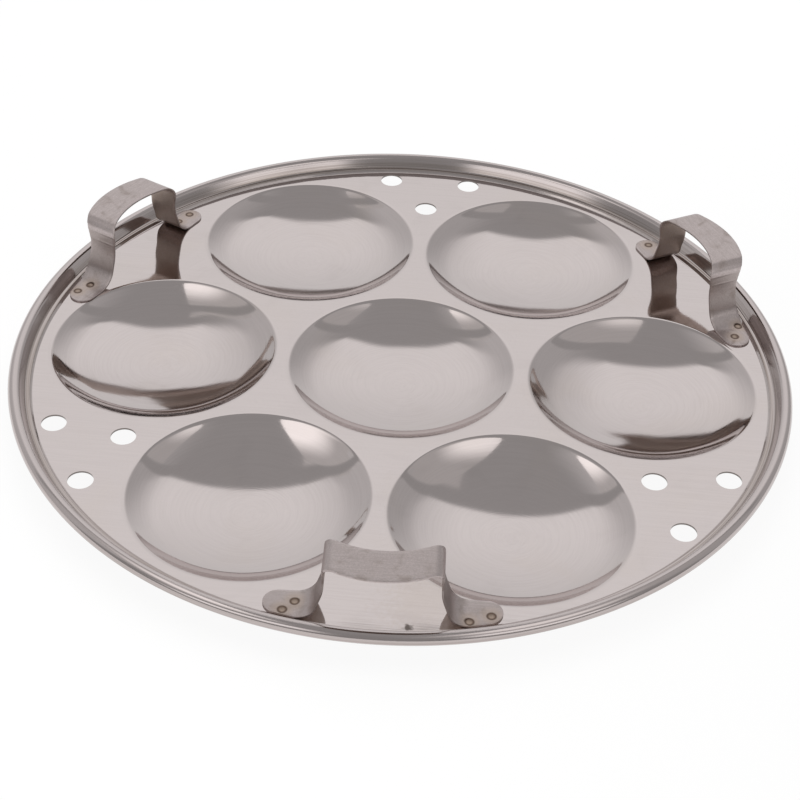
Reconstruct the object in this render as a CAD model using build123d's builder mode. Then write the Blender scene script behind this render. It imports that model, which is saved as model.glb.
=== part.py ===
from build123d import *
from math import asin, atan, atan2, cos, degrees, hypot, pi, radians, sin, sqrt
import os

# A seven-mould idli plate: one pressed steel sheet with a rolled rim, three strap handles
# and the twelve spot welds that hold them on. All sizes are in millimetres. +Z is up, the
# plate's axis is the Z axis, and the undersides of the moulds touch Z = 0.

# The sheet and its seven moulds
sheet = 0.6
mould_mouth = 78.0
mould_depth = 9.2
mould_knuckle_radius = 30.0
mould_lip_radius = 3.0
mould_wall_share = 0.4
mould_web = 3.0
ring_moulds = 6

# The flat floor ends a little outside the moulds, steps up to a narrow ledge and leans
# out in a wall that rolls over into the bead
floor_margin = 2.4
step_run = 0.9
step_height = 0.9
floor_bend_radius = 0.4
step_bend_radius = 0.9
ledge_width = 1.25
wall_bend_radius = 0.8
rim_rise = 4.9
bead_outset = 1.25
bead_diameter = 4.2
bead_turn_share = 0.8

# Nine steam holes: two near the rim and one further in, at three places round the plate
steam_hole = 8.2
steam_hole_margin = 1.6
steam_pair_spacing = 29.8
steam_row_step = 19.4
steam_azimuths = (90, 210, 330)

# The strap of a handle, its bends and its round-ended feet. The gaps are the clear widths
# for the fingers, between the legs at the floor and under the grip. A leg splays out below
# its knee and is upright above it.
strap = 0.6
handle_height = 22.5
floor_gap = 40.4
grip_gap = 33.2
knee_height = 11.0
knee_radius = 16.0
foot_bend_radius = 6.8
grip_bend_radius = 3.5
foot_width = 11.4
foot_span = 69.2
foot_clearance = 0.2
leg_width = 10.7
waist_height = 7.0

# The grip is a crescent that bows out over the rim, with an ear at each inner corner
grip_width = 12.2
grip_bow = 5.4
ear_reach = 1.0
ear_run = 6.0
ear_inset = 1.3

# Spot welds, two to a foot
weld_diameter = 2.6
weld_rim_inset = 3.7
weld_pitch = 5.5
weld_end_inset = 4.1
weld_slip = 2.0
dimple_diameter = 2.0
dimple_depth = 0.12

# Where the middle of each handle stands, in degrees round the plate. The handles are placed
# by hand, so they aren't quite evenly spaced.
handle_names = ("handle_front", "handle_left", "handle_right")
handle_azimuths = (272.8, 152.9, 29.6)

# The welds are set by hand too. These are the shares of the weld slip by which each is off
# its place, outwards along the foot and towards the rim, from one foot's tip to the other's.
weld_slip_shares = (
    ((-0.95, 0.95), (0.15, -1.1), (-0.05, 1.0), (0.35, 0.45)),
    ((0.4, 0.05), (0.1, -0.5), (-0.1, -0.45), (-0.25, 0.75)),
    ((-0.55, -0.6), (-0.1, 0.95), (0.1, 0.25), (0.25, 0.0)),
)

# How far a cutting shape runs past what it cuts
overrun = 5.0

# Sizes of the plate that follow from those above
mouth_radius = mould_mouth / 2
mould_ring_radius = mould_mouth + mould_web
floor_radius = mould_ring_radius + mouth_radius + floor_margin
step_radius = floor_radius + step_run
wall_radius = step_radius + ledge_width
bead_radius = bead_diameter / 2
plate_radius = wall_radius + bead_outset + bead_diameter
floor_top = mould_depth + sheet
ledge_top = floor_top + step_height
steam_hole_radius = steam_hole / 2
steam_pair_radius = floor_radius - steam_hole_margin - steam_hole_radius
steam_inner_radius = steam_pair_radius - steam_row_step


def on_circle(radius, angle):
    """The plan place at a radius and an angle in degrees."""
    return (radius * cos(radians(angle)), radius * sin(radians(angle)))


def mould_centres():
    """The plan places of the seven moulds, the middle one first."""
    return [(0, 0)] + [on_circle(mould_ring_radius, k * 360 / ring_moulds) for k in range(ring_moulds)]


def steam_places():
    """The plan places of the nine steam holes."""
    swing = degrees(asin(steam_pair_spacing / 2 / steam_pair_radius))
    group = ((steam_pair_radius, -swing), (steam_inner_radius, 0), (steam_pair_radius, swing))
    return [on_circle(radius, azimuth + turn) for azimuth in steam_azimuths for radius, turn in group]


# A mould is a shallow bowl: a nearly flat crown, a rounder knuckle that ends at the wall's
# slope, and a lip that rolls over into the flat floor. The three arcs are tangent, so the
# crown follows from the depth and the mouth.
wall_slope = mould_wall_share * pi / 2
turn_radius = mould_knuckle_radius + mould_lip_radius
crown_x = mouth_radius - turn_radius * sin(wall_slope)
crown_rise = mould_depth - turn_radius * (1 - cos(wall_slope))
crown_slope = 2 * atan(crown_rise / crown_x)
crown_radius = crown_x / sin(crown_slope) + mould_knuckle_radius


def on_crown(slope):
    """The crown's section where its slope is this angle in radians."""
    return (crown_radius * sin(slope), crown_radius * (1 - cos(slope)) - mould_depth)


def on_knuckle(slope):
    """The knuckle's section where its slope is this angle in radians."""
    x, z = on_crown(crown_slope)
    return (
        x + mould_knuckle_radius * (sin(slope) - sin(crown_slope)),
        z + mould_knuckle_radius * (cos(crown_slope) - cos(slope)),
    )


def on_lip(slope):
    """The lip's section where its slope is this angle in radians."""
    return (mouth_radius - mould_lip_radius * sin(slope), mould_lip_radius * (cos(slope) - 1))


with BuildPart() as mould:
    with BuildSketch(Plane.XZ):
        with BuildLine():
            ThreePointArc(on_crown(0), on_crown(crown_slope / 2), on_crown(crown_slope))
            ThreePointArc(
                on_knuckle(crown_slope),
                on_knuckle((crown_slope + wall_slope) / 2),
                on_knuckle(wall_slope),
            )
            ThreePointArc(on_lip(wall_slope), on_lip(wall_slope / 2), on_lip(0))
            offset(amount=sheet, side=Side.RIGHT)
        make_face()
    revolve(axis=Axis.Z)

# The rim's wall is the straight line from the end of the ledge that just touches the bead
bead_x = plate_radius - bead_radius
bead_z = floor_top + rim_rise - bead_radius
wall_to_bead = hypot(bead_x - wall_radius, bead_z - ledge_top)
wall_lean = atan2(bead_z - ledge_top, bead_x - wall_radius) + asin(bead_radius / wall_to_bead)
wall_length = sqrt(wall_to_bead**2 - bead_radius**2)
wall_end = (wall_radius + wall_length * cos(wall_lean), ledge_top + wall_length * sin(wall_lean))

# A handle is drawn with its middle on the +Y side of the plate: X runs along the strap and
# Y outwards. A foot's outer edge follows the round rim, its inner edge is straight, and its
# round end touches both.
foot_radius = floor_radius - foot_clearance
leg_x = floor_gap / 2
grip_x = grip_gap / 2
tip_x = foot_span / 2
crescent_side_y = sqrt(foot_radius**2 - leg_x**2)
foot_inner_y = crescent_side_y - foot_width
tip_sum = foot_inner_y + foot_radius - tip_x
tip_radius = sqrt(tip_sum**2 + foot_radius**2 - foot_inner_y**2 - tip_x**2) - tip_sum
tip_middle = (tip_x - tip_radius, foot_inner_y + tip_radius)
tip_turn = atan2(tip_middle[1], tip_middle[0])
grip_top = floor_top + handle_height
grip_underside = grip_top - strap


def on_tip(angle):
    """The place on the round end of a foot in this direction, in radians."""
    return (tip_middle[0] + tip_radius * cos(angle), tip_middle[1] + tip_radius * sin(angle))


def on_foot_edge(x):
    """The place on a foot's outer edge at a distance from the handle's middle."""
    return (x, sqrt(foot_radius**2 - x**2))


# The crescent reaches just past the legs, and its inner arc starts at the ears. The legs
# are narrower than the crescent and the feet: they have a waist on the outer side too.
crescent_x = grip_x + strap * 2
leg_outer_y = foot_inner_y + leg_width
ear_y = foot_inner_y - ear_reach
crescent_inner_y = ear_y + grip_bow
crescent_outer_y = crescent_inner_y + grip_width
ear_top = grip_top - grip_bend_radius + ear_inset
ear_foot = ear_top - ear_run
foot_top = floor_top + strap
foot_edge_y = on_foot_edge(crescent_x)[1]

# A spot weld joins a foot to the sheet: its nugget goes through both
weld_radius = weld_diameter / 2
dimple_radius = ((dimple_diameter / 2) ** 2 + dimple_depth**2) / (2 * dimple_depth)
weld_ring_radius = foot_radius - weld_rim_inset
weld_end_x = tip_x - weld_end_inset
weld_leg_x = weld_end_x - weld_pitch
weld_row = ((-1, weld_end_x), (-1, weld_leg_x), (1, weld_leg_x), (1, weld_end_x))


def weld_places(azimuth, slip_shares):
    """The plan places of one handle's four welds."""
    places = []
    for (side, reach), (along, outwards) in zip(weld_row, slip_shares):
        ring = weld_ring_radius + outwards * weld_slip
        swing = degrees(asin(side * (reach + along * weld_slip) / ring))
        places.append(on_circle(ring, azimuth + swing))
    return places


handle_welds = [weld_places(*place) for place in zip(handle_azimuths, weld_slip_shares)]
all_welds = [place for places in handle_welds for place in places]

# The plate: the floor and its rolled rim are one turned section, and the moulds are let in
with BuildPart() as plate:
    with BuildSketch(Plane.XZ):
        with BuildLine():
            FilletPolyline(
                (0, floor_top),
                (floor_radius, floor_top),
                (step_radius, ledge_top),
                (wall_radius, ledge_top),
                wall_end,
                radius=[floor_bend_radius, step_bend_radius, wall_bend_radius],
            )
            CenterArc((bead_x, bead_z), bead_radius, degrees(wall_lean) + 90, -bead_turn_share * 360)
            offset(amount=sheet, side=Side.RIGHT)
        make_face()
    revolve(axis=Axis.Z)
    with BuildSketch(Plane.XY.offset(floor_top)):
        with Locations(*mould_centres()):
            Circle(mouth_radius)
    extrude(amount=-sheet, mode=Mode.SUBTRACT)
    with Locations(*[(x, y, floor_top) for x, y in mould_centres()]):
        add(mould.part)
    with BuildSketch(Plane.XY.offset(floor_top)):
        with Locations(*steam_places()):
            Circle(steam_hole_radius)
        with Locations(*all_welds):
            Circle(weld_radius)
    extrude(amount=-sheet * 2, mode=Mode.SUBTRACT)
plate.part.label = "plate"

# The strap of a handle, before its weld holes: its outline from three sides
with BuildPart() as bent_strap:
    # From the rim it is a hat: foot, leg, grip, leg and foot
    with BuildSketch(Plane.XZ):
        with BuildLine():
            FilletPolyline(
                (-foot_span, floor_top),
                (-leg_x, floor_top),
                (-grip_x, floor_top + knee_height),
                (-grip_x, grip_underside),
                (grip_x, grip_underside),
                (grip_x, floor_top + knee_height),
                (leg_x, floor_top),
                (foot_span, floor_top),
                radius=[
                    foot_bend_radius + strap,
                    knee_radius,
                    grip_bend_radius - strap,
                    grip_bend_radius - strap,
                    knee_radius,
                    foot_bend_radius + strap,
                ],
            )
            offset(amount=strap, side=Side.LEFT)
        make_face()
    extrude(amount=-plate_radius - overrun)
    # From above the feet are a round-ended band along the rim, and the grip is a crescent
    with BuildSketch(Plane.XY.offset(floor_top)):
        with BuildLine():
            Line((crescent_x, foot_inner_y), on_tip(-pi / 2))
            ThreePointArc(on_tip(-pi / 2), on_tip((tip_turn - pi / 2) / 2), on_tip(tip_turn))
            ThreePointArc(
                on_tip(tip_turn),
                on_foot_edge((on_tip(tip_turn)[0] + crescent_x) / 2),
                on_foot_edge(crescent_x),
            )
            Line(on_foot_edge(crescent_x), (crescent_x, foot_inner_y))
        make_face()
        mirror(about=Plane.YZ)
        with BuildLine():
            inner_arc = ThreePointArc((-crescent_x, ear_y), (0, crescent_inner_y), (crescent_x, ear_y))
            outer_arc = ThreePointArc(
                (-crescent_x, crescent_side_y), (0, crescent_outer_y), (crescent_x, crescent_side_y)
            )
            Line(inner_arc @ 0, outer_arc @ 0)
            Line(inner_arc @ 1, outer_arc @ 1)
        make_face()
    extrude(amount=handle_height + overrun, mode=Mode.INTERSECT)
    # From the end each leg is narrower than the grip, and flares out to the ear
    with BuildSketch(Plane.YZ.offset(-crescent_x)):
        with BuildLine():
            Polyline(
                (foot_inner_y, floor_top),
                (foot_inner_y, ear_foot),
                (ear_y, ear_top),
                (ear_y - overrun, ear_top),
                (ear_y - overrun, floor_top),
                close=True,
            )
        make_face()
    extrude(amount=crescent_x * 2, mode=Mode.SUBTRACT)
    # On its outer side it has a waist between the foot and the grip
    with BuildSketch(Plane.YZ.offset(-foot_span)):
        with BuildLine():
            Polyline(
                (foot_edge_y, foot_top),
                (leg_outer_y, floor_top + waist_height),
                (leg_outer_y, ear_foot),
                (foot_edge_y, ear_top),
                (foot_edge_y + overrun, ear_top),
                (foot_edge_y + overrun, foot_top),
                close=True,
            )
        make_face()
    extrude(amount=foot_span * 2, mode=Mode.SUBTRACT)

handles = []
for name, azimuth, welds in zip(handle_names, handle_azimuths, handle_welds):
    with BuildPart() as handle:
        add(bent_strap.part, rotation=(0, 0, azimuth - 90))
        with BuildSketch(Plane.XY.offset(floor_top)):
            with Locations(*welds):
                Circle(weld_radius)
        extrude(amount=strap + overrun, mode=Mode.SUBTRACT)
    handle.part.label = name
    handles.append(handle)

# The twelve nuggets, each with the shallow dimple that the electrode leaves on top
with BuildPart() as spot_welds:
    with BuildSketch(Plane.XY.offset(floor_top - sheet)):
        with Locations(*all_welds):
            Circle(weld_radius)
    extrude(amount=sheet + strap)
    with Locations(*[(x, y, floor_top + strap - dimple_depth + dimple_radius) for x, y in all_welds]):
        Sphere(dimple_radius, mode=Mode.SUBTRACT)
spot_welds.part.label = "spot_welds"

os.makedirs("parts", exist_ok=True)
for piece in [plate, *handles, spot_welds]:
    export_step(piece.part, f"parts/{piece.part.label}.step")
print("over the rim", round(plate_radius * 2, 2), "and height", round(grip_top, 2))
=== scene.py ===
# %% [markdown]
# # A seven-mould idli plate in pressed steel
#
# The plate is one disc of thin stainless sheet. A press draws seven shallow bowls into it
# and rolls its edge into a bead, and three bent straps are spot-welded on as handles.
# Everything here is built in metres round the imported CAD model, which gives the exact
# places. The CAD solids are right in shape, but their facets would show in a mirror
# finish, so each piece is made again from the same sizes with smooth surfaces.

# %% Load the frame
from functools import partial
from math import asin, atan2, ceil, cos, degrees, exp, hypot, pi, radians, sin, sqrt, tan

import bmesh
import bpy
from mathutils import Matrix, Vector


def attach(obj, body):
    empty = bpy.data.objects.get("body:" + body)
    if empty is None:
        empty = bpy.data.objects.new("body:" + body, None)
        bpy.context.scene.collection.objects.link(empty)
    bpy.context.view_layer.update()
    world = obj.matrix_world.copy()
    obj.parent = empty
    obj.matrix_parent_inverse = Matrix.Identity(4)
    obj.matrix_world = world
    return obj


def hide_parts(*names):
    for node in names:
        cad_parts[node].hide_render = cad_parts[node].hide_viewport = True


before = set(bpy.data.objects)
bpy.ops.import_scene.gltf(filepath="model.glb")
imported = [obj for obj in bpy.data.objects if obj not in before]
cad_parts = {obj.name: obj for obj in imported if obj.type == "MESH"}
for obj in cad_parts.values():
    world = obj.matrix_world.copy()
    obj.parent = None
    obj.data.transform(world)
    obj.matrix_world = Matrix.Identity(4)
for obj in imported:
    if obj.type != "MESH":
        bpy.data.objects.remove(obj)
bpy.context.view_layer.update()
scene = bpy.context.scene
scene.view_settings.view_transform = "Standard"
mm = 0.001


def linked(name, data):
    """A new object in the scene."""
    made = bpy.data.objects.new(name, data)
    scene.collection.objects.link(made)
    return made


def from_points(name, points, edges=(), faces=()):
    """A new mesh object in the scene, made of points."""
    mesh = bpy.data.meshes.new(name)
    mesh.from_pydata(points, edges, faces)
    return linked(name, mesh)


# %% [markdown]
# ## Sizes
#
# These are the sizes that the press tools, the bead roller and the handle bender were set
# to. They repeat the CAD source's values, so the pieces land where the CAD solids are.

# %% Sizes of the plate
sheet = 0.6 * mm
mould_mouth, mould_depth, mould_web = 78 * mm, 9.2 * mm, 3 * mm
mould_knuckle_radius, mould_lip_radius, mould_wall_slope = 30 * mm, 3 * mm, 36
ring_moulds = 6
floor_margin, step_run, step_height = 2.4 * mm, 0.9 * mm, 0.9 * mm
floor_bend_radius, step_bend_radius, ledge_width, wall_bend_radius = 0.4 * mm, 0.9 * mm, 1.25 * mm, 0.8 * mm
rim_rise, bead_outset, bead_diameter, bead_turn = 4.9 * mm, 1.25 * mm, 4.2 * mm, 288
steam_hole, steam_hole_margin, steam_pair_spacing = 8.2 * mm, 1.6 * mm, 29.8 * mm
steam_row_step, first_steam_azimuth, steam_groups = 19.4 * mm, 90, 3

mouth_radius = mould_mouth / 2
mould_ring_radius = mould_mouth + mould_web
floor_radius = mould_ring_radius + mouth_radius + floor_margin
step_radius = floor_radius + step_run
wall_radius = step_radius + ledge_width
bead_radius = bead_diameter / 2
floor_top = mould_depth + sheet
ledge_top = floor_top + step_height
steam_pair_radius = floor_radius - steam_hole_margin - steam_hole / 2
steam_inner_radius = steam_pair_radius - steam_row_step
bead_x, bead_z = wall_radius + bead_outset + bead_radius, floor_top + rim_rise - bead_radius
print("plate across in mm:", round((bead_x + bead_radius) * 2 / mm, 2))

# %% Sizes of the handles and the welds
strap, handle_height, floor_gap, grip_gap = 0.6 * mm, 22.5 * mm, 40.4 * mm, 33.2 * mm
knee_height, knee_radius, foot_bend_radius, grip_bend_radius = 11 * mm, 16 * mm, 6.8 * mm, 3.5 * mm
foot_width, foot_span, foot_clearance = 11.4 * mm, 69.2 * mm, 0.2 * mm
leg_width, waist_height = 10.7 * mm, 7 * mm
grip_width, grip_bow, ear_reach, ear_run, ear_inset = 12.2 * mm, 5.4 * mm, 1 * mm, 6 * mm, 1.3 * mm
weld_diameter, weld_rim_inset, weld_pitch, weld_end_inset = 2.6 * mm, 3.7 * mm, 5.5 * mm, 4.1 * mm
weld_slip, dimple_diameter, dimple_depth = 2 * mm, 2 * mm, 0.12 * mm
# each handle's direction, and how far its four welds slipped along the foot and outwards
handles = {
    "handle_front": (272.8, ((-0.95, 0.95), (0.15, -1.1), (-0.05, 1.0), (0.35, 0.45))),
    "handle_left": (152.9, ((0.4, 0.05), (0.1, -0.5), (-0.1, -0.45), (-0.25, 0.75))),
    "handle_right": (29.6, ((-0.55, -0.6), (-0.1, 0.95), (0.1, 0.25), (0.25, 0.0))),
}

foot_radius = floor_radius - foot_clearance
leg_x, grip_x, tip_x = floor_gap / 2, grip_gap / 2, foot_span / 2
crescent_side_y = sqrt(foot_radius**2 - leg_x**2)
foot_inner_y = crescent_side_y - foot_width
tip_sum = foot_inner_y + foot_radius - tip_x
tip_radius = sqrt(tip_sum**2 + foot_radius**2 - foot_inner_y**2 - tip_x**2) - tip_sum
tip_middle_x, tip_middle_y = tip_x - tip_radius, foot_inner_y + tip_radius
crescent_x = grip_x + strap * 2
leg_outer_y = foot_inner_y + leg_width
ear_y = foot_inner_y - ear_reach
crescent_inner_y = ear_y + grip_bow
crescent_outer_y = crescent_inner_y + grip_width
foot_edge_y = sqrt(foot_radius**2 - crescent_x**2)
grip_top = floor_top + handle_height
ear_top = grip_top - grip_bend_radius + ear_inset
ear_foot = ear_top - ear_run
weld_radius = weld_diameter / 2
weld_ring_radius = foot_radius - weld_rim_inset
weld_end_x = tip_x - weld_end_inset
weld_row = ((-1, weld_end_x), (-1, weld_end_x - weld_pitch), (1, weld_end_x - weld_pitch), (1, weld_end_x))
print("grips stand in mm:", round(grip_top / mm, 2))


def weld_places(azimuth, slips):
    """The four plan places of one handle's welds, from one foot's tip to the other's."""
    places = []
    for (side, reach), (along, outwards) in zip(weld_row, slips):
        radius = weld_ring_radius + outwards * weld_slip
        turn = radians(azimuth) + asin(side * (reach + along * weld_slip) / radius)
        places.append((radius * cos(turn), radius * sin(turn)))
    return places


# %% [markdown]
# ## The camera
#
# The photograph looks down at the plate from about 38 degrees with a long lens, from
# about 60 cm. The angles were found by fitting the rim, the moulds and the steam holes.
# The lens shift puts the plate as far above the middle of the picture as it is there.

# %% Camera
cam_turn, cam_rise, cam_roll = radians(4.189), radians(37.888), radians(2.126)
cam_distance, lens_mm, sensor_mm, frame_px = 598.77 * mm, 79.884, 36, 800
aim_px, aim_past_axis = Vector((401.42, 364.16)), 0.35 * mm

towards_camera = Vector((sin(cam_turn) * cos(cam_rise), -cos(cam_turn) * cos(cam_rise), sin(cam_rise)))
level_right = (-towards_camera).cross(Vector((0, 0, 1))).normalized()
level_up = level_right.cross(-towards_camera)
cam_right = level_right * cos(cam_roll) + level_up * sin(cam_roll)
cam_up = level_up * cos(cam_roll) - level_right * sin(cam_roll)
cam_data = bpy.data.cameras.new("camera")
cam_data.lens = lens_mm
cam_data.sensor_width = sensor_mm
cam_data.shift_x = (frame_px / 2 - aim_px.x) / frame_px
cam_data.shift_y = (aim_px.y - frame_px / 2) / frame_px
camera = linked("camera", cam_data)
turn = Matrix((cam_right, cam_up, towards_camera)).transposed().to_4x4()
camera_place = Vector((0, aim_past_axis, floor_top)) + towards_camera * cam_distance
camera.matrix_world = Matrix.Translation(camera_place) @ turn
scene.camera = camera
print("lens shift:", round(cam_data.shift_x, 4), round(cam_data.shift_y, 4))

# %% [markdown]
# ## Building node trees
#
# Polished steel has almost no look of its own. What it shows is the room, the finish of
# its surface and its own shape, so most of the work below is in node trees. These small
# helpers keep the trees readable: `add` makes one node and feeds its inputs, `output`
# gives its output, and each of the others makes one kind of node that is needed often.
# One tree is built at a time, so they all work on `tree`, the one that was begun last.


# %% Helpers for node trees
def begin(made):
    """Makes a tree the one that is being built."""
    global tree
    tree = made


def feed(socket, value):
    """Links a socket to another node's output, or sets its value."""
    if isinstance(value, bpy.types.NodeSocket):
        tree.links.new(value, socket)
    else:
        socket.default_value = value


def add(kind, inputs=None, **settings):
    """Adds a node. Its inputs are named by socket name or number."""
    made = tree.nodes.new(kind)
    for name, value in settings.items():
        setattr(made, name, value)
    for key, value in (inputs or {}).items():
        feed(made.inputs[key], value)
    return made


def output(kind, inputs=None, name=0, **settings):
    """Adds a node and gives one of its outputs."""
    return add(kind, inputs, **settings).outputs[name]


def maths(operation, a, b=0.0):
    """One Math node's output."""
    return output("ShaderNodeMath", {0: a, 1: b}, operation=operation)


plus, less, times, ratio, larger = [
    partial(maths, operation) for operation in ("ADD", "SUBTRACT", "MULTIPLY", "DIVIDE", "MAXIMUM")
]


def spread(value, low, high, to_low=0.0, to_high=1.0):
    """A value eased from one range to another."""
    sockets = {"Value": value, "From Min": low, "From Max": high, "To Min": to_low, "To Max": to_high}
    return output("ShaderNodeMapRange", sockets, interpolation_type="SMOOTHSTEP")


def mixed(share, a, b):
    """A value mixed from two values."""
    return output("ShaderNodeMix", {0: share, 2: a, 3: b})


def blend(share, a, b):
    """A colour mixed from two colours."""
    return output("ShaderNodeMix", {0: share, 6: a, 7: b}, 2, data_type="RGBA")


def parts_of(place):
    """The three parts of a vector."""
    return add("ShaderNodeSeparateXYZ", {0: place}).outputs


def vector(x=0.0, y=0.0, z=0.0):
    """A vector made of three parts."""
    return output("ShaderNodeCombineXYZ", {0: x, 1: y, 2: z})


def distance(place, other=(0, 0, 0)):
    """How far a place is from another, or how long a vector is."""
    return output("ShaderNodeVectorMath", {0: place, 1: other}, "Value", operation="DISTANCE")


def in_mm(place):
    """A place in millimetres, which suits the scales of the patterns."""
    return output("ShaderNodeVectorMath", {0: place, "Scale": 1 / mm}, operation="SCALE")


def own_place():
    """The place on the object, in metres."""
    return output("ShaderNodeTexCoord", name="Object")


def noise(place, scale, detail, **more):
    """Cloudy noise."""
    return output("ShaderNodeTexNoise", {"Vector": place, "Scale": scale, "Detail": detail, **more})


# %% [markdown]
# A group is a tree of its own with named inputs and outputs, which other trees can hold.
# `bare_tree` begins the tree of a plain material or of the world, and `show` ends it.


# %% Helpers for groups and materials
number, whole, shape = "NodeSocketFloat", "NodeSocketInt", "NodeSocketGeometry"
place_input, object_input = ("NodeSocketVector", None), ("NodeSocketObject", None)
material_input = ("NodeSocketMaterial", None)


def new_tree(name, kind, inputs, outputs):
    """An empty node group with named inputs, each with its kind and value, and named outputs."""
    begin(bpy.data.node_groups.new(name, kind))
    for label, (socket_type, value) in inputs.items():
        socket = tree.interface.new_socket(label, in_out="INPUT", socket_type=socket_type)
        if value is not None:
            socket.default_value = value
    for label, socket_type in outputs.items():
        tree.interface.new_socket(label, in_out="OUTPUT", socket_type=socket_type)
    print("group", name, "with the inputs", list(inputs))
    return add("NodeGroupInput").outputs, add("NodeGroupOutput").inputs


def group(name, inputs):
    """A node group placed in the tree, with its own values."""
    kind = "GeometryNodeGroup" if tree.bl_idname == "GeometryNodeTree" else "ShaderNodeGroup"
    placed = tree.nodes.new(kind)
    placed.node_tree = bpy.data.node_groups[name]
    for key, value in inputs.items():
        feed(placed.inputs[key], value)
    return placed.outputs


def bare_tree(owner):
    """Begins the node tree of a material or of the world, without any node."""
    owner.use_nodes = True
    owner.node_tree.nodes.clear()
    begin(owner.node_tree)


def show(shader, kind="ShaderNodeOutputMaterial"):
    """Ends the tree with the shader that is seen."""
    add(kind, {"Surface": shader})
    print("nodes in the tree:", len(tree.nodes))


# %% [markdown]
# ## The studio
#
# The steel mirrors what stands round it, so the studio is part of the finish. In the
# photograph each bowl works like a small wide-angle mirror: its bottom shows a white sweep
# behind the plate, which ends about 60 degrees up. Above it comes a grey ceiling with a
# soft box at the left and at the right. The sweep and the ceiling are in the world here, as
# brightness that depends on direction alone. What the camera sees directly is plain white.

# %% World
white = (1, 1, 1, 1)
# brightness: the sweep's top and foot, the ceiling ahead and overhead, the light in it, the sides
white_sweep, sweep_foot, grey_ceiling, near_room, near_light = 0.99, 0.8, 0.40, 0.36, 1.35
left_side, right_side = 0.64, 0.52
# the sweep's edge in degrees up, how far it sinks past the corners, and how it blurs there
sweep_edge, lowest_edge, sweep_corner, sweep_fall, edge_blur, corner_blur = 60, 40, 0.27, 35, 1.5, 30
# where one brightness turns into the next, in degrees from the level ahead over the zenith
sweep_rises, ceiling_dims, sides_end = (0, 48), (100, 135), (95, 115)
light_starts, light_stops = (126, 136), (152, 162)
# the same across, as the share of a direction that points to the side
sides_start, left_to_right = (0.22, 0.62), (-0.3, 0.3)
light_inner, light_outer = (0.22, 0.36), (0.72, 0.86)

world = bpy.data.worlds.new("studio")
scene.world = world
bare_tree(world)
direction = output("ShaderNodeTexCoord", name="Generated")
faced = output("ShaderNodeVectorRotate", {"Vector": direction, "Angle": -cam_turn}, rotation_type="Z_AXIS")
side, ahead, height = parts_of(faced)
climb = maths("DEGREES", maths("ARCTAN2", height, ahead))
off_middle = maths("ABSOLUTE", side)
past_corner = larger(less(off_middle, sweep_corner), 0)
sunk_edge = less(sweep_edge, times(past_corner, sweep_fall))
above_edge = less(climb, larger(sunk_edge, lowest_edge))
half_edge = plus(times(past_corner, corner_blur), edge_blur)
ceiling_share = spread(ratio(above_edge, half_edge), -1, 1)
sweep_level = spread(climb, *sweep_rises, sweep_foot, white_sweep)
dim_level = spread(climb, *ceiling_dims, grey_ceiling, near_room)
beside = times(spread(off_middle, *light_inner), spread(off_middle, *light_outer, 1.0, 0.0))
level_band = times(spread(climb, *light_starts), spread(climb, *light_stops, 1.0, 0.0))
ceiling_level = mixed(times(beside, level_band), dim_level, near_light)
ahead_level = mixed(ceiling_share, sweep_level, ceiling_level)
side_share = times(spread(off_middle, *sides_start), spread(climb, *sides_end, 1.0, 0.0))
side_level = spread(side, *left_to_right, left_side, right_side)
seen_in_steel = mixed(side_share, ahead_level, side_level)
camera_ray = output("ShaderNodeLightPath", name="Is Camera Ray")
level = mixed(camera_ray, seen_in_steel, 1.0)
show(output("ShaderNodeBackground", {"Strength": level, "Color": white}), "ShaderNodeOutputWorld")

# %% [markdown]
# The two soft boxes hang low, about 35 cm above the plate, so each mould sees them at a
# different place, and the front moulds see the most of them. Each is brightest at its lamp
# and fades from there.

# %% Soft boxes
box_height, lamp_share, box_color = 0.35, 0.25, (1, 0.99, 0.98, 1)


def panel(name, corners, height):
    """A flat four-sided panel. Its material's tree is begun."""
    made = from_points(name, [(x, y, height) for x, y in corners], faces=[(0, 1, 2, 3)])
    made.data.materials.append(bpy.data.materials.new(name))
    bare_tree(made.data.materials[0])
    return made


def soft_box(name, corners, lamp_place, reach, brightest, faintest):
    """A lit panel overhead with its lamp behind one place of it."""
    box = panel(name, corners, box_height)
    from_lamp = distance(own_place(), (*lamp_place, box_height))
    strength = spread(from_lamp, reach * lamp_share, reach, brightest, faintest)
    show(output("ShaderNodeEmission", {"Strength": strength, "Color": box_color}))
    box.visible_camera = False
    return box


left_corners = [(-0.115, -0.30), (-0.42, -0.30), (-0.42, 0.18), (-0.17, 0.18)]
right_corners = [(0.055, -0.40), (0.40, -0.40), (0.40, 0.15), (0.13, 0.15)]
soft_boxes = [
    soft_box("soft_box_left", left_corners, (-0.185, -0.10), 0.19, 1.45, 0.60),
    soft_box("soft_box_right", right_corners, (0.175, -0.15), 0.19, 1.25, 0.54),
]

# %% [markdown]
# In the two front moulds the white sweep ends lower than in the others, so its upper edge
# must be close by. A dim strip, which hangs across the studio behind the plate, does that:
# from the front moulds it covers the top of the sweep, and from the others it lies in
# front of the grey ceiling, where it can't be told apart.

# %% Dim strip
strip_height, strip_back, strip_front, strip_blur, strip_half = 0.308, 0.166, 0.10, 0.015, 0.6
front_corners, back_corners = [[(x, y) for x in (-strip_half, strip_half)] for y in (strip_front, strip_back)]
dim_strip = panel("dim_strip", front_corners + back_corners[::-1], strip_height)
dim_strip.rotation_euler.z = cam_turn
dim_strip.visible_camera = False
backwards = parts_of(own_place())[1]
past_back = spread(backwards, strip_back - strip_blur, strip_back)
before_front = spread(backwards, strip_front, strip_front + strip_blur, 1.0, 0.0)
dim = output("ShaderNodeEmission", {"Strength": grey_ceiling, "Color": white})
clear = output("ShaderNodeBsdfTransparent")
show(output("ShaderNodeMixShader", {0: larger(past_back, before_front), 1: dim, 2: clear}))

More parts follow.
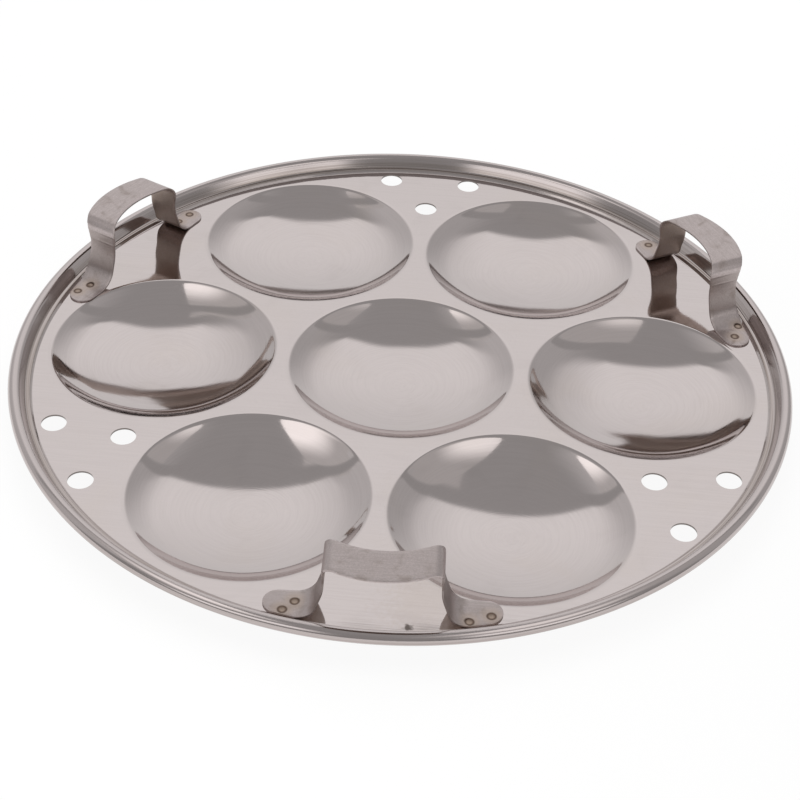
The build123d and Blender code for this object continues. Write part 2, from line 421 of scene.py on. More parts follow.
# %% [markdown]
# The floor is pale and flat. To the camera and in the steel it is close to white, and a
# share of it is a plain matt surface, so the plate still throws its soft shadow there.
# From below it is clear, so that the underside can be looked at.

# %% Floor
floor_reach, floor_drop, floor_glow, shadow_share = 4.0, 0.05 * mm, 1.03, 0.12
matt_color = (0.86, 0.86, 0.86, 1)
floor_corners = [(x * floor_reach, y * floor_reach) for x, y in ((-1, -1), (1, -1), (1, 1), (-1, 1))]
floor = panel("floor", floor_corners, -floor_drop)
path = add("ShaderNodeLightPath").outputs
mirrored = larger(path["Is Glossy Ray"], path["Is Transmission Ray"])
seen = larger(path["Is Camera Ray"], mirrored)
matt = output("ShaderNodeBsdfDiffuse", {"Color": matt_color})
bright = output("ShaderNodeEmission", {"Color": white, "Strength": floor_glow})
clear = output("ShaderNodeBsdfTransparent")
lit = output("ShaderNodeMixShader", {0: times(seen, 1 - shadow_share), 1: matt, 2: bright})
from_below = output("ShaderNodeNewGeometry", name="Backfacing")
show(output("ShaderNodeMixShader", {0: from_below, 1: lit, 2: clear}))

# %% A lamp for matt surfaces
lamp_data = bpy.data.lights.new("matt_lamp", "AREA")
lamp_data.shape, lamp_data.size, lamp_data.energy = "DISK", 1.4, 9
lamp = linked("matt_lamp", lamp_data)
lamp.location = (0.2, 0.1, 1.15)
lamp.visible_glossy = False
lamp.visible_camera = False
print("lamp of", lamp_data.energy, "watts")

# %% [markdown]
# ## Finishes
#
# Three effects are used again and again, so each is a node group. `brushing` gives the fine
# parallel scratches of a polishing wheel: noise that is stretched along one axis.
# `smudges` gives the cloudy marks that hands, water and heat leave, and `spot_at` one
# ragged mark at a given place. Each finish places them with its own values.

# %% Brushing, smudges and single marks
given, wanted = new_tree(
    "brushing", "ShaderNodeTree",
    {"Place": place_input, "Scale": (number, 1.0), "Stretch": (number, 0.02)}, {"Streaks": number},
)
along, across, out = parts_of(given["Place"])
squeezed = vector(times(along, given["Stretch"]), across, out)
feed(wanted["Streaks"], noise(squeezed, given["Scale"], 3.0, Roughness=0.6))

given, wanted = new_tree(
    "smudges", "ShaderNodeTree",
    {"Place": place_input, "Scale": (number, 1.0), "Amount": (number, 0.5)}, {"Mask": number},
)
clouds = noise(given["Place"], given["Scale"], 4.0, Distortion=0.6)
threshold = less(0.75, times(given["Amount"], 0.4))
feed(wanted["Mask"], spread(clouds, threshold, plus(threshold, 0.25)))

given, wanted = new_tree(
    "spot_at", "ShaderNodeTree",
    {"Place": place_input, "Middle": place_input, "Reach": (number, 1.0)}, {"Mask": number},
)
ragged = noise(given["Place"], 0.7, 4.0)
share_away = ratio(distance(given["Place"], given["Middle"]), given["Reach"])
feed(wanted["Mask"], spread(plus(share_away, times(ragged, 1.2)), 0.8, 1.4, 1.0, 0.0))


def attribute(name, kind="Vector"):
    """What the mesh keeps at each point under a name."""
    return output("ShaderNodeAttribute", name=kind, attribute_name=name)


def masked(name, place, kind="Mask", **values):
    """What a group gives at a place. Its other inputs are named in small letters."""
    return group(name, {"Place": place, **{key.capitalize(): value for key, value in values.items()}})[kind]


def finish(name):
    """Begins a metal material and gives its shader's inputs. Metalness is the same all over."""
    material = bpy.data.materials.new(name)
    material.use_nodes = True
    begin(material.node_tree)
    shader = tree.nodes["Principled BSDF"]
    shader.inputs["Metallic"].default_value = 1.0
    print("material", name)
    return material, shader.inputs


# %% [markdown]
# ### Polished steel
#
# The plate is close to a mirror. On the flat floor the wheel left faint straight lines, and
# in each bowl and round the rim fine rings, which also blur the reflections there. The
# mesh carries each point's place from the middle of its bowl, or of the plate, and how far
# it is in a bowl, so one material does it all.

# %% Polished steel: brushing
ring_variety = 0.7
polished, shader = finish("polished_steel")
place_mm = in_mm(own_place())
in_bowl = attribute("in_bowl", "Fac")
x, y, z = parts_of(in_mm(attribute("from_middle")))
flat_place = vector(x, y)
ring = distance(flat_place)
way = parts_of(output("ShaderNodeVectorMath", {0: flat_place}, operation="NORMALIZE"))
past_floor = spread(ring, floor_radius / mm, step_radius / mm)
in_rim = times(past_floor, less(1.0, in_bowl))
turned_share = larger(in_bowl, in_rim)
ring_and_rise = plus(ring, times(z, in_rim))
round_place = vector(times(way[0], ring_variety), ring_and_rise, times(way[1], ring_variety))
rings = masked("brushing", round_place, "Streaks", scale=2.2, stretch=1.0)
lines = masked("brushing", place_mm, "Streaks", scale=1.6, stretch=0.03)
brush = mixed(turned_share, lines, rings)
streak = spread(brush, 0.36, 0.64)
cloudy = masked("smudges", place_mm, scale=0.03, amount=0.6)
dusty = masked("smudges", place_mm, scale=0.055, amount=0.55)

# %% [markdown]
# Clouds of heat warm its colour, and streaks and dust dull it. The rim is painted a darker
# steel as shade. Lower down its inner wall it is darker and browner still, partly painted shade
# and partly brown grime along the streaks. The walls of the holes are painted near black as
# shade. Three single marks are those that the photograph shows: a faint brown stain, a spot by
# the rim and one in a bowl.

# %% Polished steel: colour
steel_color, warm_color = (0.608, 0.549, 0.540, 1), (0.60, 0.534, 0.508, 1)
dull_color, hole_shade_color = (0.50, 0.450, 0.441, 1), (0.10, 0.085, 0.075, 1)
shaded_rim_color, groove_shade_and_grime_color = (0.545, 0.488, 0.48, 1), (0.30, 0.25, 0.22, 1)
warm_share, streak_share, dust_share, groove_streaks, least_groove_shade = 0.5, 0.16, 0.22, 0.75, 0.10
# each mark's middle and reach in mm, its depth and its colour
marks = (
    ((18, -111, floor_top / mm), 24, 0.14, (0.45, 0.36, 0.28, 1)),
    ((13.5, -120.3, floor_top / mm), 2.2, 0.9, (0.10, 0.08, 0.07, 1)),
    ((56.8, 41.4, 1), 2.6, 0.6, (0.16, 0.13, 0.11, 1)),
)
color = blend(times(cloudy, warm_share), steel_color, warm_color)
color = blend(plus(times(streak, streak_share), times(dusty, dust_share)), color, dull_color)
# painted shade: the rim takes a darker copy of the steel's colour, and lower down its inner wall it turns
# darker and browner, partly painted shade and partly brown grime along the streaks
deep = spread(z, (floor_top + rim_rise) / mm, (floor_top + step_height) / mm)
groove_shade_and_grime = times(deep, plus(times(streak, groove_streaks), least_groove_shade))
color = blend(in_rim, color, blend(groove_shade_and_grime, shaded_rim_color, groove_shade_and_grime_color))
upright = parts_of(output("ShaderNodeNewGeometry", name="True Normal"))[2]
upper_side = spread(upright, -0.1, 0.1)
for middle, reach, depth, tone in marks:
    mark = masked("spot_at", place_mm, middle=middle, reach=reach)
    color = blend(times(times(mark, upper_side), depth), color, tone)
# painted shade: the steep walls of the holes are painted near black
steep = spread(maths("ABSOLUTE", upright), 0.2, 0.4, 0.8, 0.0)
hole_wall = times(steep, less(1.0, turned_share))
feed(shader["Base Color"], blend(hole_wall, color, hole_shade_color))
print("single marks:", len(marks))

# %% [markdown]
# The floor is the smoothest part and the rim the roughest. Thin sheet is never quite flat,
# so a weak wide bump bends the reflections a little, and the scratches lie on top of it.

# %% Polished steel: roughness and bump
floor_rough, bowl_rough, rim_rough, least_rough = 0.05, 0.065, 0.13, 0.02
streak_rough, cloud_rough, wave_depth, scratch_depth = 0.12, 0.03, 0.12 * mm, 0.003 * mm
rough = mixed(in_rim, mixed(in_bowl, floor_rough, bowl_rough), rim_rough)
rough = plus(rough, times(less(brush, 0.5), streak_rough))
rough = plus(rough, times(cloudy, cloud_rough))
feed(shader["Roughness"], larger(rough, least_rough))
waves = noise(place_mm, 0.05, 1.0)
wavy = output("ShaderNodeBump", {"Height": waves, "Distance": wave_depth, "Strength": 1.0})
scratched = {"Height": brush, "Distance": scratch_depth, "Strength": 1.0, "Normal": wavy}
feed(shader["Normal"], output("ShaderNodeBump", scratched))
print("nodes in the polished steel:", len(tree.nodes))

# %% [markdown]
# ### Strap steel
#
# The handles are bent from strip with its mill finish: grey, satin and speckled. The upright
# legs are painted darker than the feet and the grip. The faces that look inward and down are
# darker and browner still. Both are painted shade. Heat from the spot welds left a dark ring
# and a brown halo round each one. The mesh has a map of the strip, a mask of its inner side
# and each point's way from its foot's two welds.

# %% Strap steel: colour
strip_dark, strip_pale, grain_depth = (0.445, 0.389, 0.38, 1), (0.58, 0.508, 0.50, 1), 0.02 * mm
straps, shader = finish("strap_steel")
place_mm = in_mm(own_place())
strap_map = attribute("strap_map")
above = parts_of(strap_map)[2]
speckle = noise(place_mm, 2.8, 5.0, Roughness=0.7)
lines = masked("brushing", strap_map, "Streaks", scale=2.0, stretch=0.06)
stained = masked("smudges", place_mm, scale=0.2, amount=0.6)
spotted = masked("smudges", place_mm, scale=0.9, amount=0.3)
on_leg = times(spread(above, 2.0, 6.0), spread(above, 17.5, 19.5, 1.0, 0.0))
on_foot = spread(above, 1.0, 2.6, 1.0, 0.0)
inner_shade_streaks = plus(0.5, times(spread(lines, 0.35, 0.6), 0.4))
near_weld = maths("MINIMUM", *[distance(attribute(name)) for name in ("from_tip_weld", "from_leg_weld")])
# each layer's share and colour, from the lowest to the top one
layers = {
    "lines": (times(spread(lines, 0.4, 0.65), 0.22), (0.34, 0.285, 0.26, 1)),
    "stains": (times(stained, 0.45), (0.31, 0.25, 0.215, 1)),
    # painted shade: the upright legs are darker than the feet and the grip
    "legs": (times(on_leg, 0.45), (0.29, 0.245, 0.225, 1)),
    # painted shade: faces that look inward towards the other leg and down are darker and browner, streaked
    # along the lines
    "inner side": (times(attribute("inner_side", "Fac"), inner_shade_streaks), (0.365, 0.29, 0.245, 1)),
    "halo": (times(spread(near_weld, 1.4, 4.6, 0.45, 0.0), on_foot), (0.52, 0.405, 0.32, 1)),
    "burnt ring": (times(spread(near_weld, 1.3, 1.8, 0.8, 0.0), on_foot), (0.10, 0.07, 0.055, 1)),
    "spots": (times(spotted, 0.4), (0.19, 0.15, 0.13, 1)),
}
color = blend(spread(speckle, 0.3, 0.7), strip_dark, strip_pale)
for share, tone in layers.values():
    color = blend(share, color, tone)
feed(shader["Base Color"], color)
print("layers on the strap steel:", list(layers))

# %% Strap steel: roughness and grain
satin = plus(0.30, times(lines, 0.16))
feed(shader["Roughness"], plus(satin, times(stained, 0.10)))
grain = plus(times(speckle, 0.6), times(lines, 0.4))
bumpy = output("ShaderNodeBump", {"Height": grain, "Distance": grain_depth, "Strength": 1.0})
feed(shader["Normal"], bumpy)
print("nodes in the strap steel:", len(tree.nodes))

# %% [markdown]
# ### Weld steel
#
# The weld melted here and cooled fast: bare and brown in its middle, burnt dark and rough
# at its edge.

# %% Weld steel
welds, shader = finish("weld_steel")
place = parts_of(in_mm(attribute("from_middle")))
ring = distance(vector(place[0], place[1]))
burnt = spread(ring, 0.5, 1.3)
feed(shader["Base Color"], blend(burnt, (0.36, 0.28, 0.23, 1), (0.15, 0.10, 0.075, 1)))
feed(shader["Roughness"], spread(ring, 0.4, 1.4, 0.3, 0.5))

# %% [markdown]
# ## The plate
#
# The real plate starts as a flat disc, and every form in it is either turned about the
# plate's axis, such as the step and the bead, or a bowl that is turned about its own axis.
# A lathe would do, but in Geometry Nodes one small group, `turned_section`, swings a
# line of points about the Z axis, and the bowls, the rim, the walls of the holes and the
# welds all use it. First come the lines themselves. `bent_line` walks along straight runs
# and arcs, as the bender's drawing gives them, and can walk beside the line at an offset.


# %% Lines of points
def left_of(angle):
    """The direction to the left of a heading."""
    return Vector((-sin(angle), cos(angle)))


def bent_line(start, heading, runs, step, offset=0.0):
    """Points along runs of (length,) and arcs of (radius, turn), beside the line by an offset to its left."""
    here, angle = Vector(start), radians(heading)
    points = [here + left_of(angle) * offset]
    for run in runs:
        if len(run) == 1:
            here = here + Vector((cos(angle), sin(angle))) * run[0]
            points.append(here + left_of(angle) * offset)
            continue
        radius, turn = run[0], radians(run[1])
        way = 1 if turn > 0 else -1
        middle = here + left_of(angle) * radius * way
        pieces = max(1, ceil(abs(run[1]) / step))
        for k in range(1, pieces + 1):
            now = angle + turn * k / pieces
            here = middle - left_of(now) * radius * way
            points.append(here + left_of(now) * offset)
        angle += turn
    return points


def helper(name, points):
    """A short-lived object that only holds a line of points, as radius and height."""
    edges = [(k, k + 1) for k in range(len(points) - 1)]
    return from_points(name, [(p[0], 0, p[1]) for p in points], edges)


# %% Sections
flat_ring = 0.15 * mm
# steps in degrees: fine where a mirror finish would show the facets
crown_step, knuckle_step, lip_step, rim_top_step, rim_below_step = 0.85, 1.6, 3.0, 7.2, 15
turn_radius = mould_knuckle_radius + mould_lip_radius
crown_x = mouth_radius - turn_radius * sin(radians(mould_wall_slope))
crown_rise = mould_depth - turn_radius * (1 - cos(radians(mould_wall_slope)))
crown_slope = degrees(2 * atan2(crown_rise, crown_x))
crown_radius = crown_x / sin(radians(crown_slope)) + mould_knuckle_radius


def bowl_section(below):
    """The bowl and its lip from the middle outwards, on top of the sheet or below it."""
    crown = (crown_radius + below, crown_slope)
    knuckle = (mould_knuckle_radius + below, mould_wall_slope - crown_slope)
    lip = (mould_lip_radius - below, -mould_wall_slope)
    line = bent_line((0, floor_top - mould_depth - below), 0, [crown], crown_step)
    line += bent_line(line[-1], crown_slope, [knuckle], knuckle_step)[1:]
    return line + bent_line(line[-1], mould_wall_slope, [lip, (flat_ring,)], lip_step)[1:]


rise = degrees(atan2(step_height, step_run))
floor_tangent = floor_bend_radius * tan(radians(rise / 2))
step_tangent = step_bend_radius * tan(radians(rise / 2))
wall_to_bead = hypot(bead_x - wall_radius, bead_z - ledge_top)
wall_lean = degrees(atan2(bead_z - ledge_top, bead_x - wall_radius) + asin(bead_radius / wall_to_bead))
wall_length = sqrt(wall_to_bead**2 - bead_radius**2)
wall_tangent = wall_bend_radius * tan(radians(wall_lean / 2))
floor_edge = floor_radius - floor_tangent - flat_ring
rim_runs = [
    (flat_ring,),
    (floor_bend_radius, rise),
    (hypot(step_run, step_height) - floor_tangent - step_tangent,),
    (step_bend_radius, -rise),
    (ledge_width - step_tangent - wall_tangent,),
    (wall_bend_radius, wall_lean),
    (wall_length - wall_tangent,),
    (bead_radius, -bead_turn),
]
rim_top = bent_line((floor_edge, floor_top), 0, rim_runs, rim_top_step)
rim_below = bent_line((floor_edge, floor_top), 0, rim_runs, rim_below_step, offset=-sheet)
sections = {
    "Bowl top": helper("bowl_top", bowl_section(0)),
    "Bowl below": helper("bowl_below", bowl_section(sheet)),
    "Rim": helper("rim", rim_top + rim_below[::-1]),
    "Hole wall": helper("wall", [(1, floor_top), (1, floor_top - sheet)]),
}
print("points in the sections:", {label: len(made.data.vertices) for label, made in sections.items()})

# %% [markdown]
# The group below makes a grid with one row of points for each step round, then moves
# every point to its section point, swung by its step's angle. The seam and the poles are
# merged, so the skin is closed.

# %% The turned section
seam_reach, mould_steps, rim_steps, hole_steps, weld_steps = 0.001 * mm, 96, 288, 40, 24
given, wanted = new_tree(
    "turned_section", "GeometryNodeTree",
    {"Section": (shape, None), "Steps": (whole, 64), "Widen": (number, 1.0)}, {"Mesh": shape},
)
count = output("GeometryNodeAttributeDomainSize", {0: given["Section"]}, "Point Count")
size = {"Vertices X": plus(given["Steps"], 1), "Vertices Y": count}
grid = output("GeometryNodeMeshGrid", size, "Mesh")
index = output("GeometryNodeInputIndex")
row = maths("FLOORED_MODULO", index, count)
step = maths("FLOOR", ratio(plus(index, 0.5), count))
angle = times(ratio(step, given["Steps"]), 2 * pi)
place = output("GeometryNodeInputPosition")
sampled = {"Geometry": given["Section"], "Index": row, "Value": place}
reach = parts_of(output("GeometryNodeSampleIndex", sampled, data_type="FLOAT_VECTOR"))
radius = times(reach[0], given["Widen"])
swung = [times(radius, maths(way, angle)) for way in ("COSINE", "SINE")]
moved = {"Geometry": grid, "Position": vector(*swung, reach[2])}
placed = output("GeometryNodeSetPosition", moved)
closed = output("GeometryNodeMergeByDistance", {"Geometry": placed, "Distance": seam_reach})
feed(wanted["Mesh"], closed)


# %% Helpers for shapes
def points_at(count, start, offset=(0, 0, 0)):
    """A row of points."""
    sockets = {"Count": count, "Start Location": start, "Offset": offset}
    return output("GeometryNodeMeshLine", sockets, mode="OFFSET")


def join(*shapes):
    """Several shapes as one."""
    joined = add("GeometryNodeJoinGeometry")
    for part in shapes:
        feed(joined.inputs[0], part)
    return joined.outputs[0]


def at_points(points, what, **more):
    """A copy of something at each point, as real geometry."""
    on_points = output("GeometryNodeInstanceOnPoints", {"Points": points, "Instance": what, **more})
    return output("GeometryNodeRealizeInstances", {"Geometry": on_points})


def shape_of(held):
    """The shape of a given object."""
    return output("GeometryNodeObjectInfo", {"Object": held}, "Geometry")


def turned(section, steps, widen=1.0):
    """One of the sections, swung round."""
    sockets = {"Section": shape_of(section), "Steps": steps, "Widen": widen}
    return group("turned_section", sockets)["Mesh"]


def circle(steps, radius):
    """A closed round line."""
    return output("GeometryNodeCurvePrimitiveCircle", {"Resolution": steps, "Radius": radius})


def keep_middle(made):
    """Stores each point's place from the middle of its own form."""
    place = output("GeometryNodeInputPosition")
    return keep(made, "from_middle", place, "FLOAT_VECTOR")


def keep(made, name, value, data_type):
    """Stores a value at each point under a name."""
    sockets = {"Geometry": made, "Name": name, "Value": value}
    return output("GeometryNodeStoreNamedAttribute", sockets, data_type=data_type)


def dressed(made, material):
    """A shape with its material."""
    return output("GeometryNodeSetMaterial", {"Geometry": made, "Material": material})


# %% [markdown]
# The plate's own tree follows the press. It lays out the places of the moulds and of the
# steam holes, fills the flat floor between their circles, and drops in the bowls, the
# hole walls and the rim. Two attributes go along for the finish: `from_middle`, each
# point's place from the middle of its own form, and `in_bowl`.

# %% The plate's tree: places
plate_counts = {
    "Moulds in the ring": ring_moulds, "Steam groups": steam_groups, "Mould steps": mould_steps,
    "Rim steps": rim_steps, "Hole steps": hole_steps, "Weld steps": weld_steps,
}
plate_sizes = {
    "Mould ring radius": mould_ring_radius, "Mould circle": mouth_radius + flat_ring,
    "Floor edge": floor_edge, "Floor height": floor_top, "Sheet": sheet,
    "First steam angle": radians(first_steam_azimuth), "Steam pair radius": steam_pair_radius,
    "Steam pair spacing": steam_pair_spacing, "Steam inner radius": steam_inner_radius,
    "Steam hole radius": steam_hole / 2, "Weld radius": weld_radius,
}
inputs = {label: object_input for label in [*sections, "Weld places"]}
inputs |= {"Material": material_input, **{label: (whole, value) for label, value in plate_counts.items()}}
inputs |= {label: (number, value) for label, value in plate_sizes.items()}
given, wanted = new_tree("pressed_plate", "GeometryNodeTree", inputs, {"Plate": shape})

ring_size = {"Vertices": given["Moulds in the ring"], "Radius": given["Mould ring radius"]}
mould_ring = output("GeometryNodeMeshCircle", ring_size)
mould_points = join(points_at(1, (0, 0, 0)), mould_ring)
half_pair = ratio(given["Steam pair spacing"], 2)
squares = [times(side, side) for side in (given["Steam pair radius"], half_pair)]
pair_start = vector(maths("SQRT", less(*squares)), times(half_pair, -1))
pair = points_at(2, pair_start, vector(y=given["Steam pair spacing"]))
three_holes = join(pair, points_at(1, vector(given["Steam inner radius"])))
group_index = output("GeometryNodeInputIndex")
group_step = ratio(times(group_index, 2 * pi), given["Steam groups"])
group_rotation = vector(z=plus(given["First steam angle"], group_step))
group_points = points_at(given["Steam groups"], (0, 0, 0))
steam_points = at_points(group_points, three_holes, Rotation=group_rotation)
weld_points = shape_of(given["Weld places"])
print("nodes that lay out the places:", len(tree.nodes))

# %% The plate's tree: shapes
merge_reach = 0.002 * mm
mould_count, hole_count, weld_count = given["Mould steps"], given["Hole steps"], given["Weld steps"]
outlines = join(
    circle(given["Rim steps"], given["Floor edge"]),
    at_points(mould_points, circle(mould_count, given["Mould circle"])),
    at_points(steam_points, circle(hole_count, given["Steam hole radius"])),
    at_points(weld_points, circle(weld_count, given["Weld radius"])),
)
flat_face = output("GeometryNodeFillCurve", {"Curve": outlines})
lifts = [vector(z=height) for height in (given["Floor height"], less(given["Floor height"], given["Sheet"]))]
floors = [output("GeometryNodeTransform", {"Geometry": flat_face, "Translation": lift}) for lift in lifts]

bowl = join(*[turned(given[label], mould_count) for label in ("Bowl top", "Bowl below")])
bowl = keep(keep_middle(bowl), "in_bowl", 1.0, "FLOAT")
rest = join(
    *floors,
    turned(given["Rim"], given["Rim steps"]),
    at_points(steam_points, turned(given["Hole wall"], hole_count, given["Steam hole radius"])),
    at_points(weld_points, turned(given["Hole wall"], weld_count, given["Weld radius"])),
)
rest = keep(keep_middle(rest), "in_bowl", 0.0, "FLOAT")
made = join(at_points(mould_points, bowl), rest)
made = output("GeometryNodeMergeByDistance", {"Geometry": made, "Distance": merge_reach})
made = output("GeometryNodeSetShadeSmooth", {"Geometry": made, "Shade Smooth": True})
made = output("GeometryNodeRealizeInstances", {"Geometry": made})
feed(wanted["Plate"], dressed(made, given["Material"]))
print("nodes in the plate's tree:", len(tree.nodes))

# %% [markdown]
# A Geometry Nodes modifier is only a recipe until it is turned into a mesh. `from_tree`
# puts the tree on an empty object with its sizes, takes the result as a plain mesh, faces
# all its sides outwards and marks the real edges of the sheet as sharp.

# %% From a tree to a mesh
sheet_sharp_angle, strap_sharp_angle = radians(35), radians(40)


def taken(made, modifier):
    """The plain mesh that an object's modifier makes. The modifier goes."""
    bpy.context.view_layer.update()
    result = bpy.data.meshes.new_from_object(made.evaluated_get(bpy.context.evaluated_depsgraph_get()))
    made.modifiers.remove(modifier)
    made.data = result
    print(made.name, "has", len(result.polygons), "faces")
    return result


def open_edges(work):
    """How many edges don't lie between two faces. None should."""
    return sum(1 for edge in work.edges if len(edge.link_faces) != 2)


def from_tree(name, tree_name, values):
    """A plain mesh object made by a Geometry Nodes tree with the given inputs."""
    made = linked(name, bpy.data.meshes.new(name))
    modifier = made.modifiers.new("recipe", "NODES")
    modifier.node_group = bpy.data.node_groups[tree_name]
    for socket in modifier.node_group.interface.items_tree:
        if socket.in_out == "INPUT" and socket.name in values:
            modifier[socket.identifier] = values[socket.name]
    mesh = taken(made, modifier)
    work = bmesh.new()
    work.from_mesh(mesh)
    bmesh.ops.recalc_face_normals(work, faces=work.faces)
    print("open edges in", name, open_edges(work))
    work.to_mesh(mesh)
    work.free()
    mesh.shade_smooth()
    mesh.set_sharp_from_angle(angle=sheet_sharp_angle)
    return made


# %% The plate
weld_spots = [spot for azimuth, slips in handles.values() for spot in weld_places(azimuth, slips)]
weld_marks = from_points("weld_places", [(x, y, 0) for x, y in weld_spots])

values = {**sections, "Weld places": weld_marks, "Material": polished, **plate_counts, **plate_sizes}
plate = from_tree("pressed_plate", "pressed_plate", values)
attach(plate, "root")
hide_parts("plate")

# %% [markdown]
# ## The handles
#
# Each handle is a strap of 0.6 mm steel, cut to shape while flat and then bent: two wide
# bends at the feet, a slight knee in each leg and two tight bends at the grip. The strip's
# outline is what makes it look right: the feet follow the round rim and have round ends,
# the legs have a waist, and the grip is a crescent with a small ear at each inner corner.
# The mesh follows the bent line in rows. Each row runs round the strip's section, and its
# edges come from the same arcs as in the CAD solid. Shears leave the edges a little round.


# %% The strap's edges
def arc_through(half_width, side_y, middle_y):
    """A function of x for the arc through two side points and a middle point."""
    bow = middle_y - side_y
    radius = (half_width**2 + bow**2) / (2 * bow)
    return lambda x: middle_y - radius + sqrt(radius**2 - x**2)


inner_arc = arc_through(crescent_x, ear_y, crescent_inner_y)
outer_arc = arc_through(crescent_x, crescent_side_y, crescent_outer_y)
tip_touch_x = tip_middle_x * foot_radius / (foot_radius - tip_radius)


def foot_edges(x):
    """The foot's inner and outer edge at a distance from the handle's middle."""
    cap = sqrt(max(tip_radius**2 - (x - tip_middle_x) ** 2, 0)) if x > tip_middle_x else 0
    inner = tip_middle_y - cap if x > tip_middle_x else foot_inner_y
    return inner, tip_middle_y + cap if x > tip_touch_x else sqrt(foot_radius**2 - x**2)


def between(value, low, high, at_low, at_high):
    """A straight run from one value to another, level beyond its ends."""
    share = min(max((value - low) / (high - low), 0), 1)
    return at_low + (at_high - at_low) * share


def strap_edges(x, z):
    """Where the strip starts and ends across, at a point of its bent line."""
    x = abs(x)
    if x > crescent_x:
        inner, outer = foot_edges(min(x, tip_x))
    else:
        inner, outer = inner_arc(x), outer_arc(x)
        if z < ear_top:
            inner = max(inner, between(z, ear_foot, ear_top, foot_inner_y, ear_y))
    if floor_top + strap < z < ear_top:
        waist = between(z, floor_top + strap, floor_top + waist_height, foot_edge_y, leg_outer_y)
        outer = min(outer, waist + between(z, ear_foot, ear_top, 0, foot_edge_y - leg_outer_y))
    return inner, outer


print("grip's edges in mm:", [round(edge / mm, 2) for edge in strap_edges(0, grip_top)])

# %% The strap's bent line
lean = degrees(atan2(knee_height, leg_x - grip_x))
base_foot_radius, base_grip_radius = foot_bend_radius + strap, grip_bend_radius - strap
foot_tangent = base_foot_radius * tan(radians(lean / 2))
knee_tangent = knee_radius * tan(radians((90 - lean) / 2))
low_leg = hypot(knee_height, leg_x - grip_x) - foot_tangent - knee_tangent
high_leg = handle_height - strap - knee_height - knee_tangent - base_grip_radius
cap_steps, foot_steps, low_steps, high_steps, grip_steps, bend_step = 14, 8, 8, 28, 24, 6
# the round end of a foot gets rows that lie closer together towards its tip
cap_places = [cos(pi / 2 * k / cap_steps) for k in range(cap_steps + 1)]
half_runs = (
    [(tip_radius * (place - next_place),) for place, next_place in zip(cap_places, cap_places[1:])]
    + [((tip_middle_x - leg_x - foot_tangent) / foot_steps,)] * foot_steps
    + [(base_foot_radius, lean)]
    + [(low_leg / low_steps,)] * low_steps
    + [(knee_radius, 90 - lean)]
    + [(high_leg / high_steps,)] * high_steps
    + [(base_grip_radius, -90)]
)
runs = half_runs + [(2 * (grip_x - base_grip_radius) / grip_steps,)] * grip_steps + half_runs[::-1]
under_line, upper_line = [bent_line((-tip_x, floor_top), 0, runs, bend_step, offset) for offset in (0, strap)]
print("rows along a strap:", len(under_line), "ends at", round(under_line[-1].x / mm, 2))

# %% [markdown]
# The bending tool left two faint ridges across the outer face of each leg, one just below
# the grip's bend and one about 3 mm lower. They are real dents here, so they catch light.

# %% The strip's section
strap_columns, edge_rounding, rounding_steps = 10, 0.13 * mm, 3
ridge_width, ridges = 0.32 * mm, ((grip_top - 4.1 * mm, 0.07 * mm), (grip_top - 7.4 * mm, 0.05 * mm))
# shares of the strip's thickness and insets from its cut edge, round one rounded side
quarter = [pi / 2 * k / rounding_steps for k in range(rounding_steps + 1)]
round_side = [(edge_rounding / strap * (1 - cos(a)), edge_rounding * (1 - sin(a))) for a in quarter]
round_side += [(1 - share, inset) for share, inset in round_side[::-1]]


def strap_row(under, upper):
    """The points round the strip's section at one place of its bent line."""
    def at(share, side, inset):
        x, z = under.lerp(upper, share)
        edges = strap_edges(x, z)
        width, way = edges[1] - edges[0], 1 if x > 0 else -1
        past = max(abs(x) - tip_middle_x, 0)
        ridge = sum(depth * exp(-(((z - height) / ridge_width) ** 2)) for height, depth in ridges)
        x += ridge * share * way
        x -= (past * inset / tip_radius) * way
        inset = min(inset, width / 2) if past == 0 else inset / tip_radius * width / 2
        return Vector((x, edges[1] - inset if side > 0 else edges[0] + inset, z))

    outer, inner = [[at(share, side, inset) for share, inset in round_side] for side in (1, -1)]
    across = [k / strap_columns for k in range(1, strap_columns)]
    top = [outer[-1].lerp(inner[-1], share) for share in across]
    below = [inner[0].lerp(outer[0], share) for share in across]
    return outer + top + inner[::-1] + below


print("points round the strip:", len(strap_row(under_line[0], upper_line[0])))


# %% Handle meshes
def meshed(work, name):
    """A new mesh with the shape that was worked on."""
    mesh = bpy.data.meshes.new(name)
    work.to_mesh(mesh)
    work.free()
    return mesh


def strap_mesh(name):
    """One handle with its middle on +Y."""
    work = bmesh.new()
    lines = zip(under_line, upper_line)
    rows = [[work.verts.new(point) for point in strap_row(under, upper)] for under, upper in lines]
    for row, next_row in zip(rows, rows[1:]):
        for k in range(len(row)):
            m = (k + 1) % len(row)
            work.faces.new((row[k], row[m], next_row[m], next_row[k]))
    bmesh.ops.remove_doubles(work, verts=work.verts, dist=seam_reach)
    bmesh.ops.dissolve_degenerate(work, edges=work.edges, dist=seam_reach)
    bmesh.ops.holes_fill(work, edges=work.edges)
    bmesh.ops.recalc_face_normals(work, faces=work.faces)
    print("open edges in", name, open_edges(work))
    return meshed(work, name)


def weld_cutter(spots):
    """Round pegs where the welds go through a handle's feet."""
    work = bmesh.new()
    peg = {"segments": weld_steps, "radius1": weld_radius, "radius2": weld_radius, "depth": strap * 3}
    for x, y in spots:
        place = Matrix.Translation((x, y, floor_top + strap / 2))
        bmesh.ops.create_cone(work, cap_ends=True, matrix=place, **peg)
    return linked("weld_cutter", meshed(work, "weld_cutter"))


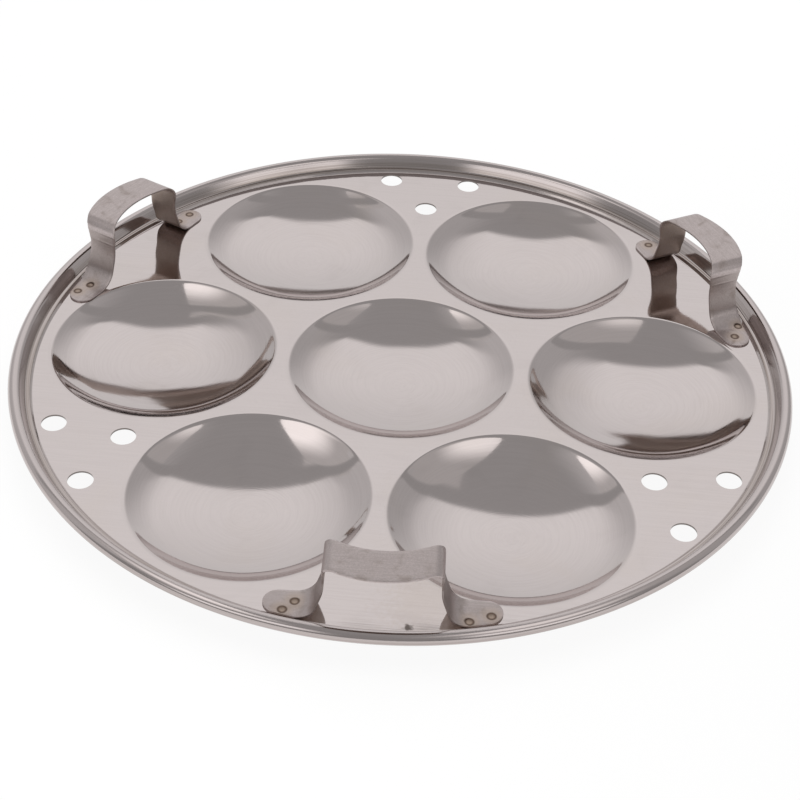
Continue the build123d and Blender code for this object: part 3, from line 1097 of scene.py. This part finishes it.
def map_strap(mesh, turn, spots):
    """Keeps each point's place on the strip, its side and its way from the two welds of its foot."""
    back_turn = turn.inverted()
    spots = [back_turn @ Vector((x, y, 0)) for x, y in spots]
    kept = {"strap_map": [], "from_tip_weld": [], "from_leg_weld": [], "inner_side": []}
    for vert in mesh.vertices:
        x, y, z = back_turn @ vert.co
        faced, side = back_turn @ vert.normal, 1 if x > 0 else -1
        kept["strap_map"] += [(x + side * (grip_top - z)) / mm, (y - foot_inner_y) / mm, (z - floor_top) / mm]
        for name, spot in zip(("from_tip_weld", "from_leg_weld"), spots[:2] if x > 0 else spots[:1:-1]):
            kept[name] += [(x - spot.x) / mm, (y - spot.y) / mm, 0]
        kept["inner_side"].append(min(max(-side * faced.x - faced.z, 0), 1))
    # all layers are made before any is filled, because each new one moves the others
    for name in kept:
        mesh.attributes.new(name, "FLOAT" if name == "inner_side" else "FLOAT_VECTOR", "POINT")
    for name, values in kept.items():
        mesh.attributes[name].data.foreach_set("value" if name == "inner_side" else "vector", values)


# %% The three handles
for node, (azimuth, slips) in handles.items():
    turn = Matrix.Rotation(radians(azimuth - 90), 4, "Z")
    mesh = strap_mesh(node + "_strap")
    mesh.transform(turn)
    handle = linked(node + "_strap", mesh)
    mesh.materials.append(straps)
    spots = weld_places(azimuth, slips)
    cutter = weld_cutter(spots)
    cut = handle.modifiers.new("weld_holes", "BOOLEAN")
    cut.object, cut.operation, cut.solver = cutter, "DIFFERENCE", "EXACT"
    result = taken(handle, cut)
    bpy.data.objects.remove(cutter)
    map_strap(result, turn, spots)
    result.shade_smooth()
    result.set_sharp_from_angle(angle=strap_sharp_angle)
    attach(handle, "root")
    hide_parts(node)

# %% [markdown]
# ## The spot welds
#
# A spot weld melts a small nugget between the foot and the sheet, and the electrode's tip
# leaves a round dimple on top. The twelve are alike, so one is turned from its section
# and placed at every weld place by a tree of its own.

# %% Spot welds
dish_steps, dimple_reach = 8, dimple_diameter / 2
dimple_radius = (dimple_reach**2 + dimple_depth**2) / (2 * dimple_depth)
weld_top, weld_foot = floor_top + strap, floor_top - sheet
dimple_middle = weld_top - dimple_depth + dimple_radius
dish_places = [dimple_reach * k / dish_steps for k in range(dish_steps + 1)]
dish = [(x, dimple_middle - sqrt(dimple_radius**2 - x**2)) for x in dish_places]
sections["Weld"] = helper("weld", dish + [(weld_radius, weld_top), (weld_radius, weld_foot), (0, weld_foot)])
given, wanted = new_tree(
    "placed_welds", "GeometryNodeTree",
    {"Weld": object_input, "Places": object_input, "Material": material_input, "Steps": (whole, weld_steps)},
    {"Welds": shape},
)
nugget = keep_middle(turned(given["Weld"], given["Steps"]))
all_nuggets = at_points(shape_of(given["Places"]), nugget)
feed(wanted["Welds"], dressed(all_nuggets, given["Material"]))
values = {"Weld": sections["Weld"], "Places": weld_marks, "Material": welds}
weld_piece = from_tree("weld_nuggets", "placed_welds", values)
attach(weld_piece, "root")
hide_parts("spot_welds")

# %% [markdown]
# ## Finish
#
# The helper objects go.

# %% Finish
for spare in [*sections.values(), weld_marks]:
    bpy.data.objects.remove(spare)
